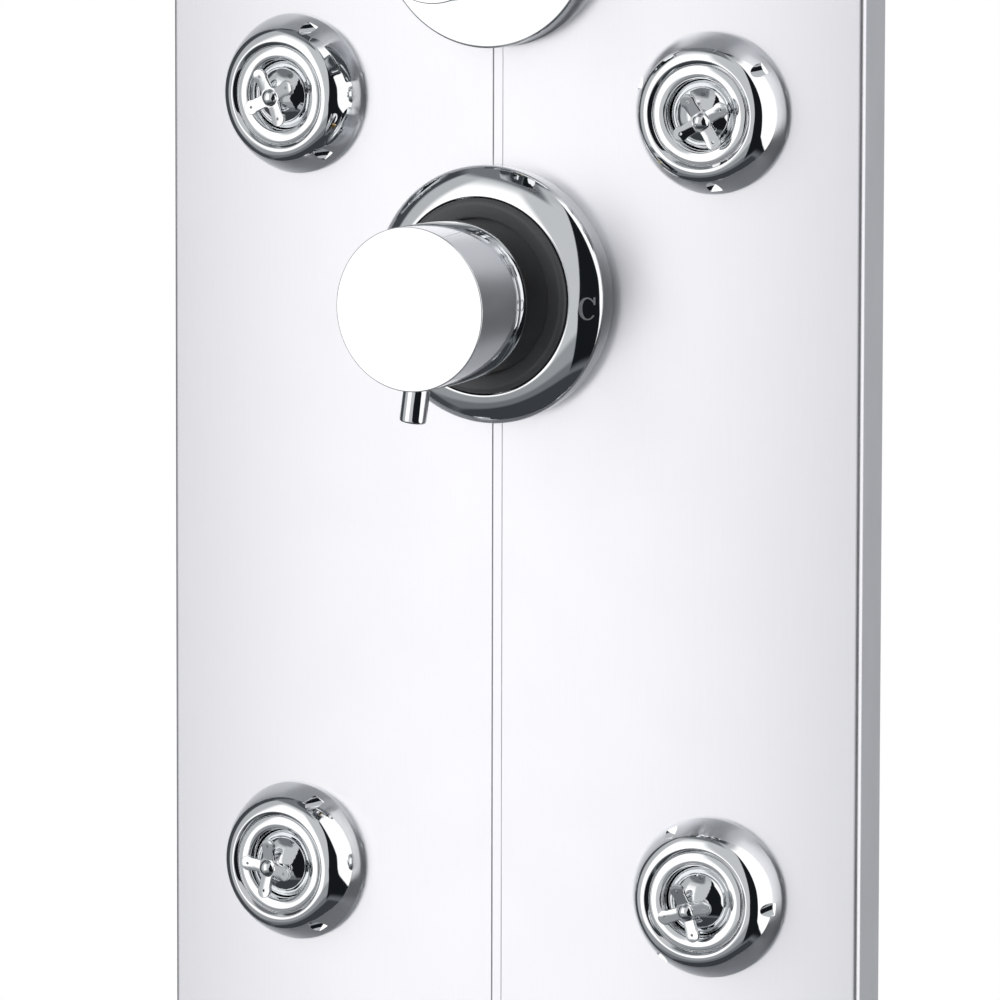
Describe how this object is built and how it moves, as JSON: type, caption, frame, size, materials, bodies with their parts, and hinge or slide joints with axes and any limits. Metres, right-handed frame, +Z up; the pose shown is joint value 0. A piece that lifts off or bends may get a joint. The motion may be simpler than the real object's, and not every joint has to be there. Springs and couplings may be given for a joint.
{
  "type": "rainfall shower column",
  "caption": "Wall-hung bowed aluminium shower panel with lever mixer, diverter knob, swivelling body jets and an overhead rain head on an arm.",
  "frame": {"origin": "on the wall plane, midway between the two screw slots of the upper wall bracket", "axes": "+Z up, the bowed front and the overhead arm face -Y, +X to the right seen from the front"},
  "size_m": [0.2408, 0.537, 1.3],
  "materials": {
    "satin_aluminium": "satin anodised, silver white",
    "cap_plastic": "moulded, fine texture",
    "zinc_steel": "zinc plated",
    "valve_brass": "cast and machined",
    "cartridge_plastic": "moulded acetal",
    "polished_chrome": "mirror polished",
    "dark_collar": "satin dark grey",
    "seal_foam": "closed-cell foam",
    "steel_pipe": "drawn tube",
    "hose_plastic": "translucent white hose",
    "plate_plastic": "metallic grey",
    "silicone": "soft grey silicone"
  },
  "bodies": {
    "column": {"front_panel": "satin_aluminium", "top_cap": "cap_plastic", "bottom_cap": "cap_plastic", "wall_brackets": "zinc_steel", "hanger_bars": "zinc_steel", "panel_screws": "zinc_steel", "mixer_body": "valve_brass", "inlet_nipples": "valve_brass", "mixer_cartridge": "cartridge_plastic", "cartridge_nut": "valve_brass", "mixer_escutcheon": "polished_chrome", "recess_collar": "dark_collar", "diverter_body": "valve_brass", "diverter_cartridge": "cartridge_plastic", "diverter_nut": "valve_brass", "diverter_disc": "polished_chrome", "panel_gaskets": "seal_foam", "jet_ul_flange": "polished_chrome", "jet_ur_flange": "polished_chrome", "jet_ll_flange": "polished_chrome", "jet_lr_flange": "polished_chrome", "upper_jet_tees": "valve_brass", "lower_jet_elbows": "valve_brass", "jet_locknuts": "valve_brass", "transfer_tube": "steel_pipe", "riser_pipe": "steel_pipe", "jet_hoses": "hose_plastic", "hose_ferrules": "steel_pipe", "pipe_nuts": "valve_brass", "arm_elbow": "valve_brass", "rain_arm": "polished_chrome", "arm_flange": "polished_chrome"},
    "mixer_rotor": {"cartridge_spindle": "valve_brass", "stem_pin": "zinc_steel"},
    "mixer_handle": {"lever_stem": "valve_brass", "mixer_knob": "polished_chrome", "knob_base_ring": "polished_chrome", "pin_lever": "polished_chrome", "mixer_grub_screw": "zinc_steel"},
    "diverter_handle": {"diverter_spindle": "valve_brass", "diverter_knob": "polished_chrome", "diverter_grub_screw": "zinc_steel"},
    "jet_ul_ring": {"jet_ul_ring": "polished_chrome"},
    "jet_ul_ball": {"jet_ul_ball": "polished_chrome"},
    "jet_ul_star": {"jet_ul_star": "polished_chrome"},
    "jet_ur_ring": {"jet_ur_ring": "polished_chrome"},
    "jet_ur_ball": {"jet_ur_ball": "polished_chrome"},
    "jet_ur_star": {"jet_ur_star": "polished_chrome"},
    "jet_ll_ring": {"jet_ll_ring": "polished_chrome"},
    "jet_ll_ball": {"jet_ll_ball": "polished_chrome"},
    "jet_ll_star": {"jet_ll_star": "polished_chrome"},
    "jet_lr_ring": {"jet_lr_ring": "polished_chrome"},
    "jet_lr_ball": {"jet_lr_ball": "polished_chrome"},
    "jet_lr_star": {"jet_lr_star": "polished_chrome"},
    "rain_swivel": {"swivel_ball": "polished_chrome"},
    "rain_head": {"swivel_nut": "polished_chrome", "head_shell": "polished_chrome", "spray_plate": "plate_plastic", "spray_nozzles": "silicone"}
  },
  "joints": [
    {"name": "mixer_turn", "type": "hinge", "parent": "column", "child": "mixer_rotor", "pos_m": [0, -0.057, -0.74], "axis": [0, -1, 0], "range_deg": [-37, 53]},
    {"name": "mixer_lift", "type": "hinge", "parent": "mixer_rotor", "child": "mixer_handle", "pos_m": [0, -0.061, -0.74], "axis": [-0.9903, 0, 0.1392], "range_deg": [0, 20]},
    {"name": "diverter_turn", "type": "hinge", "parent": "column", "child": "diverter_handle", "pos_m": [0, -0.057, -0.6271], "axis": [0, -1, 0], "range_deg": [-60, 60]},
    {"name": "jet_ul_ring_spin", "type": "hinge", "parent": "column", "child": "jet_ul_ring", "pos_m": [-0.0723, -0.05376, -0.6815], "axis": [-0.0895, -0.996, 0], "continuous": true},
    {"name": "jet_ul_tilt", "type": "hinge", "parent": "jet_ul_ring", "child": "jet_ul_ball", "pos_m": [-0.07248, -0.05575, -0.6815], "axis": [0.7043, -0.0633, 0.7071], "range_deg": [-16, 12]},
    {"name": "jet_ul_star_spin", "type": "hinge", "parent": "jet_ul_ball", "child": "jet_ul_star", "pos_m": [-0.07248, -0.05575, -0.6815], "axis": [-0.0648, -0.9976, -0.0247], "continuous": true},
    {"name": "jet_ur_ring_spin", "type": "hinge", "parent": "column", "child": "jet_ur_ring", "pos_m": [0.0723, -0.05376, -0.6815], "axis": [0.0895, -0.996, 0], "continuous": true},
    {"name": "jet_ur_tilt", "type": "hinge", "parent": "jet_ur_ring", "child": "jet_ur_ball", "pos_m": [0.07248, -0.05575, -0.6815], "axis": [0.5425, 0.0487, 0.8387], "range_deg": [-25.5, 2.5]},
    {"name": "jet_ur_star_spin", "type": "hinge", "parent": "jet_ur_ball", "child": "jet_ur_star", "pos_m": [0.07248, -0.05575, -0.6815], "axis": [0.2542, -0.961, -0.1086], "continuous": true},
    {"name": "jet_ll_ring_spin", "type": "hinge", "parent": "column", "child": "jet_ll_ring", "pos_m": [-0.0723, -0.05376, -0.9234], "axis": [-0.0895, -0.996, 0], "continuous": true},
    {"name": "jet_ll_tilt", "type": "hinge", "parent": "jet_ll_ring", "child": "jet_ll_ball", "pos_m": [-0.07248, -0.05575, -0.9234], "axis": [0.513, -0.0461, -0.8572], "range_deg": [-18.7, 9.3]},
    {"name": "jet_ll_star_spin", "type": "hinge", "parent": "jet_ll_ball", "child": "jet_ll_star", "pos_m": [-0.07248, -0.05575, -0.9234], "axis": [-0.1591, -0.9864, -0.0422], "continuous": true},
    {"name": "jet_lr_ring_spin", "type": "hinge", "parent": "column", "child": "jet_lr_ring", "pos_m": [0.0723, -0.05376, -0.9234], "axis": [0.0895, -0.996, 0], "continuous": true},
    {"name": "jet_lr_tilt", "type": "hinge", "parent": "jet_lr_ring", "child": "jet_lr_ball", "pos_m": [0.07248, -0.05575, -0.9234], "axis": [0.8626, 0.0775, -0.5], "range_deg": [-26.3, 1.7]},
    {"name": "jet_lr_star_spin", "type": "hinge", "parent": "jet_lr_ball", "child": "jet_lr_star", "pos_m": [0.07248, -0.05575, -0.9234], "axis": [-0.0187, -0.9827, -0.1845], "continuous": true},
    {"name": "rain_head_spin", "type": "hinge", "parent": "column", "child": "rain_swivel", "pos_m": [0, -0.437, -0.038], "axis": [0, 0, 1], "continuous": true},
    {"name": "rain_head_tilt", "type": "hinge", "parent": "rain_swivel", "child": "rain_head", "pos_m": [0, -0.437, -0.038], "axis": [1, 0, 0], "range_deg": [-18, 18]}
  ]
}
